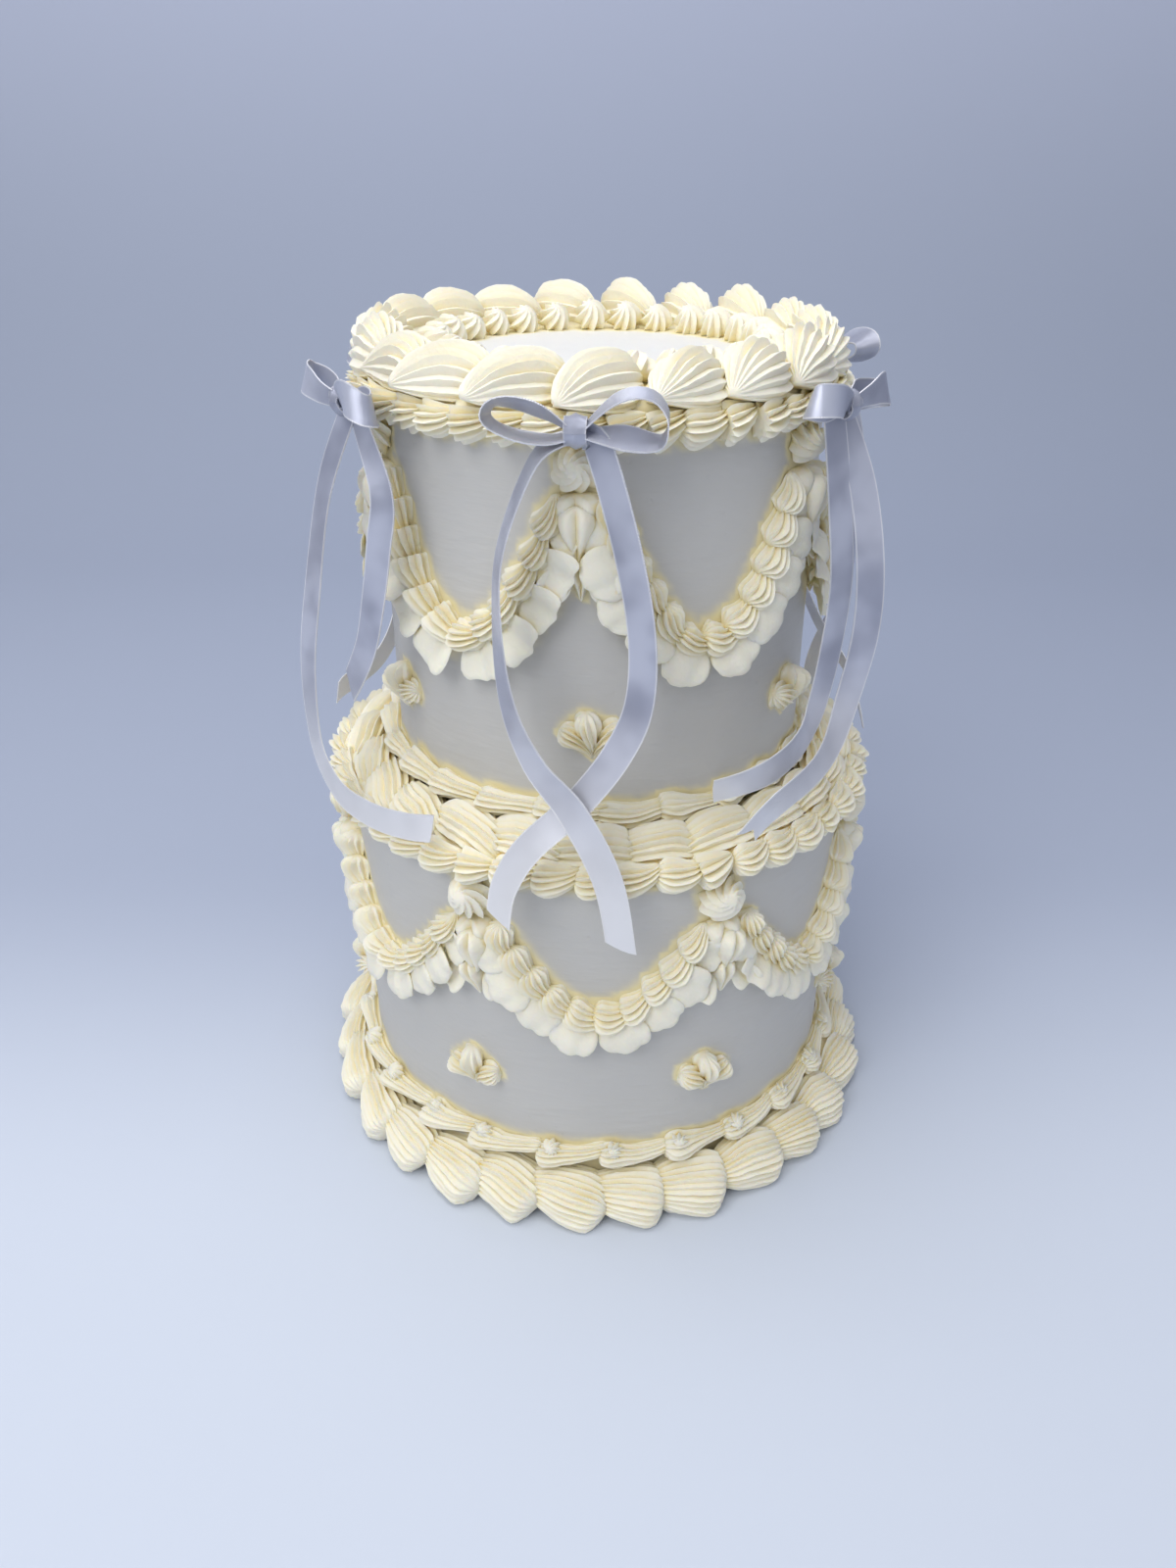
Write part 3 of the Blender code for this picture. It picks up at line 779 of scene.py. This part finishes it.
borders = {
    "rim_shells": {"count": 19, "start": 9.0, "shapes": ("rimFan",), "radius": 0.0797,
                   "height": 0.3205, "lean": 90, "heading": 4, "frontHeading": 36,
                   "uneven": 0.0005, "swirls": (-62, -10), "frontSize": 0.88},
    "rim_curls": {"count": 27, "start": 3.0, "shapes": ("curl",), "radius": 0.0625,
                  "height": 0.3222, "lean": 122, "heading": 0, "uneven": 0.0004},
    "rim_edge_shells": {"count": 43, "start": 2.0, "shapes": ("edgeFin", "edgeFin", "edgeShell"),
                        "radius": 0.0844, "height": 0.3128, "lean": 14, "heading": 198,
                        "uneven": 0.0004},
    "shelf_line": {"count": 24, "start": 3.0, "shapes": ("lineRope",), "radius": 0.0838,
                   "height": 0.1745, "lean": 20, "heading": 184, "uneven": 0.0008},
    "shelf_shells": {"count": 25, "start": 5.0, "shapes": ("shelfShell",), "radius": 0.0948,
                     "height": 0.1622, "lean": 55, "heading": 0, "sideHeading": 18,
                     "uneven": 0.0008},
    "ledge_shells": {"count": 46, "start": -4.0, "shapes": ("edgeShell",) * 3 + ("edgeFin",),
                     "radius": 0.1056, "height": 0.1600, "lean": 18, "heading": 192,
                     "uneven": 0.0004, "size": 1.06},
    "base_shells": {"count": 28, "start": 25.0, "shapes": ("baseShell",), "radius": 0.1140,
                    "height": 0.0087, "lean": 42, "heading": -9, "uneven": 0.0007},
    "base_line": {"count": 25, "start": 16.0, "shapes": ("lineRope",), "radius": 0.1060,
                  "height": 0.0250, "lean": 24, "heading": 184, "uneven": 0.0007,
                  "curl": 0.66},
}


def pipeBorder(node, border, shapes, finish):
    draw = random.Random(node)
    copies = []
    count = border["count"]
    for number in range(count):
        shape = border["shapes"][number % len(border["shapes"])]
        azimuth = border["start"] + 360 * (number + 0.5 + draw.uniform(-0.06, 0.06)) / count
        fromFront = (azimuth + 180) % 360 - 180
        low, high = border.get("swirls", (0, 0))
        if low < fromFront < high:
            shape = "rimSwirl"
        grown = border.get("size", 1.0)
        size = [grown * draw.uniform(0.94, 1.06) for _ in range(3)]
        # the front of a border may be piped lower than its back
        size[2] *= 1 + (border.get("frontSize", 1.0) - 1) * max(0.0, math.cos(math.radians(azimuth)))
        heading = border["heading"] + draw.uniform(-5, 5)
        heading += border.get("frontHeading", 0) * math.cos(math.radians(azimuth))
        heading += border.get("sideHeading", 0) * math.sin(math.radians(azimuth))
        copies.append(lay(
            shapes[shape], draw, azimuth, border["radius"], border["height"], border["lean"],
            heading, size, border["uneven"],
        ))
        if "curl" in border:
            # each length of rope starts from a small curl
            small = border["curl"] * draw.uniform(0.9, 1.1)
            back = azimuth - 0.36 * 360 / count
            copies.append(lay(
                shapes["curl"], draw, back, border["radius"] + 0.0012, border["height"] + 0.0022,
                border["lean"], draw.uniform(0, 50), (small, small, small * 0.8), 0.0003,
            ))
    return joinPiping(f"piped_{node}", copies, node, finish)


# Swags: a rope of shells between two pillars over a ruffle of petals. A wall is the radius that
# they lie on, and a flower is the height that its lobes start from

swags = {
    "top": {"wall": 0.0836, "low": 0.238, "rise": 0.050, "power": 2.0, "halfSpan": 24.5,
            "shells": 12, "petals": 10, "count": 6, "first": -4.4, "pillarTop": 0.3080,
            "flower": 0.1965, "shift": 2.6,
            "rosetteLean": 6, "rosetteSize": 1.0},
    "bottom": {"wall": 0.1056, "low": 0.0965, "rise": 0.036, "power": 1.8, "halfSpan": 20.8,
               "shells": 10, "petals": 8, "count": 7, "first": 25.7, "pillarTop": 0.1527,
               "flower": 0.0515, "shift": -1.8,
               "rosetteLean": 20, "rosetteSize": 1.12},
}


ruffle = {"reach": 0.0072, "pointed": 0.12, "ends": 0.74}
rope = {"out": 0.0006, "up": 0.0012, "ends": 0.80, "finsUpTo": 0.1}


def ropePoint(swag, share):
    azimuth = swag["halfSpan"] * share
    return azimuth, swag["low"] + swag["rise"] * abs(share) ** swag["power"]


def ropeHeading(swag, share):
    before, after = ropePoint(swag, share - 0.02), ropePoint(swag, share + 0.02)
    ahead = math.radians(after[0] - before[0]) * swag["wall"]
    return math.degrees(math.atan2(after[1] - before[1], ahead))


def ropeShares(swag, count):
    # shares of the span that are evenly spaced along the rope itself
    grid = np.linspace(-1, 1, 201)
    along = np.radians(swag["halfSpan"] * grid) * swag["wall"]
    heights = np.array([ropePoint(swag, share)[1] for share in grid])
    gone = np.concatenate([[0], np.cumsum(np.hypot(np.diff(along), np.diff(heights)))])
    return np.interp((np.arange(count) + 0.5) / count * gone[-1], gone, grid)


def hangSwag(tier, number, swag, shapes, finish):
    node = f"{tier}_swag_{number}"
    draw = random.Random(node)
    middle = swag["first"] + 360 * (number - 0.5) / swag["count"]
    finned = number % 2 == 0 and tier == "top"
    copies = []
    for share in ropeShares(swag, swag["petals"]):
        azimuth, height = ropePoint(swag, share)
        heading = ropeHeading(swag, share)
        fade = min(1.0, ruffle["ends"] + 1.3 * (1 - abs(share)))
        pointed = finned or draw.random() < ruffle["pointed"]
        petal = shapes["pointPetal" if pointed else "roundPetal"]
        size = tuple(fade * draw.uniform(0.93, 1.08) for _ in range(3))
        down = math.radians(heading - 90)
        reach = ruffle["reach"] * fade
        copies.append(lay(
            petal, draw, middle + azimuth + math.degrees(reach * math.cos(down) / swag["wall"]),
            swag["wall"] + 0.0005, height + reach * math.sin(down), 0,
            heading - 90 + draw.uniform(-9, 9), size, 0.0005,
        ))
    for share in ropeShares(swag, swag["shells"]):
        azimuth, height = ropePoint(swag, share)
        fade = min(1.0, rope["ends"] + 1.3 * (1 - abs(share)))
        kind = "swagFin" if finned and share < rope["finsUpTo"] else "swagShell"
        size = tuple(fade * draw.uniform(0.94, 1.08) for _ in range(3))
        copies.append(lay(
            shapes[kind], draw, middle + azimuth, swag["wall"] + rope["out"], height + rope["up"],
            0, ropeHeading(swag, share) + 180 + draw.uniform(-8, 8), size, 0.0004,
        ))
    return joinPiping(f"piped_{node}", copies, node, finish)


pillarLook = {
    # a low broad bud behind, a smaller one below, and the front one over both: how far it starts
    # below the pillar's top and out from the wall, its heading and its size
    "buds": (
        (0.0262, 0.0004, 92, (0.92, 1.28, 0.86)),
        (0.0432, 0.0004, 96, (0.80, 0.78, 0.90)),
        (0.0300, 0.0040, 88, (0.98, 0.94, 0.86)),
    ),
    "leafDrop": 0.0440,
    "leafSize": (0.72, 0.62, 0.8),
    "rosetteDrop": 0.0076,
}


def pipePillar(tier, number, swag, shapes, finish):
    node = f"{tier}_pillar_{number}"
    draw = random.Random(node)
    azimuth = swag["first"] + 360 * (number - 1) / swag["count"]
    wall, top = swag["wall"], swag["pillarTop"]
    copies = []
    for drop, out, heading, size in pillarLook["buds"]:
        copies.append(lay(
            shapes["bud"], draw, azimuth + draw.uniform(-1, 1), wall + out, top - drop, 0,
            heading + draw.uniform(-6, 6), size, 0.0004,
        ))
    for hand in (-1, 1):
        copies.append(lay(
            shapes["pointPetal"], draw, azimuth + hand * 4.6, wall + 0.0006,
            top - pillarLook["leafDrop"], 0, -90 + hand * 34, pillarLook["leafSize"], 0.0004,
        ))
    copies.append(lay(
        shapes["rosette"], draw, azimuth - 0.8, wall - 0.0012, top - pillarLook["rosetteDrop"],
        swag["rosetteLean"], draw.uniform(0, 40), (swag["rosetteSize"],) * 3, 0.0004,
    ))
    return joinPiping(f"piped_{node}", copies, node, finish)


# a broad lobe to each hand and a narrower one on top, all from one point below: heading and size
flowerLobes = {"topLobe": (93, 1.12), "leftLobe": (131, 1.0), "rightLobe": (49, 1.0)}


def pipeFlower(tier, number, swag, shapes, finish):
    node = f"{tier}_flower_{number}"
    draw = random.Random(node)
    azimuth = swag["first"] + swag["shift"] + 360 * (number - 1) / swag["count"]
    copies = []
    for shape, (heading, size) in flowerLobes.items():
        size *= draw.uniform(0.95, 1.05)
        copies.append(lay(
            shapes[shape], draw, azimuth, swag["wall"] - 0.0002, swag["flower"], 0,
            heading + draw.uniform(-6, 6), (size, size, size), 0.0004,
        ))
    return joinPiping(f"piped_{node}", copies, node, finish)


# Ribbon bows. Every tail is a run of (azimuth, radius, height), with the ribbon's twist and cut

crossedTails = (
    {"points": ((-6.0, 0.0985, 0.3130), (-11.5, 0.1030, 0.3061), (-17.0, 0.1070, 0.2796),
                (-17.7, 0.1090, 0.2544), (-15.9, 0.1110, 0.2282), (-11.2, 0.1140, 0.2086),
                (-4.5, 0.1180, 0.1933), (1.3, 0.1215, 0.1684), (3.6, 0.1265, 0.1398)),
     "twist": (-76, -66, -60, -52, -38, -20, 2, 12, 14), "cut": "slant"},
    {"points": ((-3.0, 0.0985, 0.3130), (-0.3, 0.1010, 0.3092), (4.3, 0.1050, 0.2804),
                (7.0, 0.1070, 0.2520), (6.6, 0.1090, 0.2290), (2.9, 0.1110, 0.2123),
                (-3.8, 0.1135, 0.1948), (-11.8, 0.1190, 0.1792), (-15.7, 0.1225, 0.1642),
                (-16.3, 0.1265, 0.1504)),
     "twist": (-30, -30, -34, -38, -34, -24, -16, -14, -16, -18), "cut": "slant"},
)
pairedTails = (
    {"points": ((53.5, 0.0985, 0.3120), (56.0, 0.1070, 0.2870), (56.0, 0.1130, 0.2600),
                (56.0, 0.1140, 0.2350), (53.0, 0.1120, 0.2090), (45.0, 0.1150, 0.1960),
                (31.0, 0.1210, 0.1900), (26.0, 0.1165, 0.1762)),
     "twist": (-10, -34, -44, -44, -32, -14, 2, 6), "cut": "vee"},
    {"points": ((50.5, 0.0985, 0.3120), (51.5, 0.1030, 0.2830), (52.0, 0.1060, 0.2560),
                (50.5, 0.1060, 0.2300), (46.0, 0.1065, 0.2080), (30.0, 0.1165, 0.2005),
                (20.9, 0.1050, 0.1904)),
     "twist": (-10, -20, -20, -18, -10, 0, 0), "cut": "slant"},
)
sweptTails = (
    {"points": ((-58.0, 0.0985, 0.3120), (-64.0, 0.1070, 0.2830), (-64.0, 0.1150, 0.2480),
                (-64.0, 0.1200, 0.2190), (-62.0, 0.1215, 0.1900), (-55.5, 0.1200, 0.1755),
                (-46.5, 0.1180, 0.1725), (-36.5, 0.1170, 0.1745), (-30.3, 0.1150, 0.1765)),
     "twist": (0, 10, 16, 16, 10, 6, 6, 8, 10), "cut": "slant"},
    {"points": ((-55.0, 0.0985, 0.3120), (-46.5, 0.1000, 0.2887), (-47.3, 0.1020, 0.2689),
                (-49.6, 0.1040, 0.2473), (-52.4, 0.1060, 0.2296), (-58.0, 0.1095, 0.2110)),
     "twist": (0, 12, 16, 14, 10, 4), "cut": "slant"},
)
bows = (
    (-4.4, crossedTails, "round", 0.0),
    (52.0, pairedTails, "flat", 0.0),
    (115.6, crossedTails, "round", 120.0),
    (172.0, pairedTails, "flat", 120.0),
    (-123.5, sweptTails, "flat", -67.0),
    (-56.5, sweptTails, "flat", 0.0),
)
bowLoops = {
    # points along, above and out from the knot, and the ribbon's twist there
    "round": (
        {"points": ((-0.0015, 0.0, 0), (-0.0060, 0.0032, 0), (-0.0120, 0.0062, 0),
                    (-0.0190, 0.0080, 0), (-0.0245, 0.0076, 0), (-0.0268, 0.0045, 0),
                    (-0.0245, 0.0012, 0), (-0.0170, -0.0016, 0), (-0.0080, -0.0026, 0),
                    (-0.0010, -0.0012, 0)),
         "twist": (20, 28, 34, 30, 20, 10, 4, 6, 10, 10)},
        {"points": ((0.0015, 0.0, 0), (0.0060, 0.0046, 0), (0.0115, 0.0092, 0),
                    (0.0175, 0.0112, 0), (0.0235, 0.0100, 0), (0.0272, 0.0050, 0),
                    (0.0268, -0.0010, 0), (0.0235, -0.0030, 0), (0.0150, -0.0018, 0),
                    (0.0070, -0.0010, 0), (0.0010, -0.0006, 0)),
         "twist": (4, 6, 8, 8, 6, 2, -4, -18, -34, -24, -8)},
    ),
    "flat": (
        {"points": ((-0.0015, 0.0, 0.0010), (-0.0065, 0.0014, 0.0034), (-0.0130, 0.0034, 0.0048),
                    (-0.0190, 0.0046, 0.0050), (-0.0238, 0.0050, 0.0024),
                    (-0.0236, 0.0040, -0.0014), (-0.0180, 0.0026, -0.0030),
                    (-0.0120, 0.0010, -0.0026), (-0.0060, 0.0, -0.0018), (-0.0010, 0.0, -0.0010)),
         "twist": (-24, -16, 0, 14, 22, 20, 6, -6, -4, 0)},
        {"points": ((0.0015, 0.0, 0.0010), (0.0060, 0.0022, 0.0036), (0.0120, 0.0038, 0.0052),
                    (0.0175, 0.0030, 0.0052), (0.0218, 0.0010, 0.0026),
                    (0.0216, 0.0, -0.0012), (0.0165, 0.0004, -0.0028), (0.0110, 0.0008, -0.0026),
                    (0.0060, 0.0, -0.0018), (0.0010, 0.0, -0.0010)),
         "twist": (26, 18, 2, -14, -20, -14, 0, 6, 4, 0)},
    ),
}
knotPlace = {"radius": 0.1015, "height": 0.3150, "half": (0.0034, 0.0042, 0.0048)}


def around(azimuth, radius, height):
    turn = math.radians(azimuth)
    return Vector((radius * math.sin(turn), -radius * math.cos(turn), height))


def smoothly(rows, share):
    # a value of the smooth curve through rows of numbers
    spans = len(rows) - 1
    span = min(int(share * spans), spans - 1)
    t = share * spans - span
    four = (rows[max(span - 1, 0)], rows[span], rows[span + 1], rows[min(span + 2, spans)])
    weights = (
        (-t * t * t + 2 * t * t - t) / 2,
        (3 * t * t * t - 5 * t * t + 2) / 2,
        (-3 * t * t * t + 4 * t * t + t) / 2,
        (t * t * t - t * t) / 2,
    )
    return [sum(w * v for w, v in zip(weights, values)) for values in zip(*four)]


def weave(name, line, steps, place):
    # a strip of ribbon along a line: place gives a point from its share of the length, the
    # line's spot and direction there, and how far across it is, from -1 to 1
    samples = [line(step / 60) for step in range(61)]
    length = sum((b - a).length for a, b in zip(samples, samples[1:]))
    clearSelection()
    bpy.ops.mesh.primitive_grid_add(
        x_subdivisions=steps or max(10, round(length / ribbonLook["step"])),
        y_subdivisions=ribbonLook["across"], size=2.0,
    )
    strip = newest(name)
    uvs = strip.data.uv_layers[0].data
    for loop in strip.data.loops:
        x, y, _ = strip.data.vertices[loop.vertex_index].co
        uvs[loop.index].uv = ((x + 1) / 2 * length, (y + 1) / 2)
    for vertex in strip.data.vertices:
        x, y, _ = vertex.co
        vertex.co = place(min(1.0, max(0.0, (x + 1) / 2)), y, length)
    return strip, length


def aheadOf(line, share):
    return (line(min(1, share + 0.01)) - line(max(0, share - 0.01))).normalized()


def layTail(tail, turned):
    # a tail hangs with its face outwards, turned by its twist, and is cut at its end
    points = [(a + turned, r, h) for a, r, h in tail["points"]]
    twists = [(value,) for value in tail["twist"]]

    def line(share):
        return around(*smoothly(points, share))

    def place(share, y, length):
        trim = {"slant": 0.5 + y / 2, "vee": 1 - abs(y)}[tail["cut"]]
        share *= 1 - trim * ribbonLook["width"] / length * 0.8
        spot, ahead = line(share), aheadOf(line, share)
        side = ahead.cross(Vector((spot.x, spot.y, 0)).normalized()).normalized()
        face = side.cross(ahead)
        twist = math.radians(smoothly(twists, share)[0])
        side = side * math.cos(twist) + face * math.sin(twist)
        return spot + side * y * ribbonLook["width"] / 2

    return weave("tail", line, None, place)


def layLoop(loop, kind, centre, tangent, outwards):
    # a round loop's width points away from the cake, and a flat one's stands up
    twists = [(value,) for value in loop["twist"]]
    axis = outwards if kind == "round" else Vector((0, 0, 1))

    def line(share):
        along, up, out = smoothly(loop["points"], share)
        return centre + tangent * along + outwards * out + Vector((0, 0, up))

    def place(share, y, _):
        face = aheadOf(line, share).cross(axis).normalized()
        twist = math.radians(smoothly(twists, share)[0])
        side = axis * math.cos(twist) + face * math.sin(twist)
        pinch = 0.55 + 0.45 * min(1.0, 5 * min(share, 1 - share))
        return line(share) + side * y * pinch * ribbonLook["width"] / 2

    return weave("loop", line, 26, place)


def layKnot(centre, tangent, outwards):
    # the wrap round the middle, drawn tight into wrinkles
    wide, deep, tall = knotPlace["half"]

    def line(share):
        turn = share * math.tau
        return centre + outwards * deep * math.cos(turn) + Vector((0, 0, tall * math.sin(turn)))

    def place(share, y, _):
        wrinkle = 0.0004 * math.sin(y * 7.5 + 3 * math.sin(share * 9)) - 0.0009 * y * y
        spot = line(share)
        return spot + tangent * y * wide + (spot - centre).normalized() * wrinkle

    return weave("wrap", line, 20, place)


def tieBow(number, azimuth, tails, kind, turned, finish):
    node = f"ribbon_bow_{number}"
    tangent, outwards = around(azimuth + 90, 1, 0), around(azimuth, 1, 0)
    centre = around(azimuth, knotPlace["radius"], knotPlace["height"])
    made = [layTail(tail, turned) for tail in tails]
    made += [layLoop(loop, kind, centre, tangent, outwards) for loop in bowLoops[kind]]
    made.append(layKnot(centre, tangent, outwards))
    clearSelection()
    for strip, _ in made:
        strip.select_set(True)
    bpy.context.view_layer.objects.active = made[0][0]
    bpy.ops.object.join()
    bow = newest(f"satin_bow_{number}")
    applyModifier(bow, "SOLIDIFY", thickness=ribbonLook["thickness"], offset=0.0)
    bpy.ops.object.shade_smooth_by_angle(angle=math.radians(50))
    bow.data.materials.clear()
    bow.data.materials.append(finish)
    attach(bow, "root")
    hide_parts(node)


# Everything, in turn

setStudio()
print("studio set")
shapes = pipeShapes()
print("shapes piped:", len(shapes))
smoothed = smoothIcing()
ridged = pipedIcing()
satin = satinRibbon()
tiers = [iceTier(node, look, smoothed) for node, look in tierNodes.items()]
print("tiers iced")
piped = [pipeBorder(node, border, shapes, ridged) for node, border in borders.items()]
print("borders piped")
for tier, swag in swags.items():
    for number in range(1, swag["count"] + 1):
        piped.append(hangSwag(tier, number, swag, shapes, ridged))
        piped.append(pipePillar(tier, number, swag, shapes, ridged))
        piped.append(pipeFlower(tier, number, swag, shapes, ridged))
print("swags hung")
markCrevices(tiers + piped)
print("crevices marked")
for number, bow in enumerate(bows, 1):
    tieBow(number, *bow, satin)
print("bows tied")
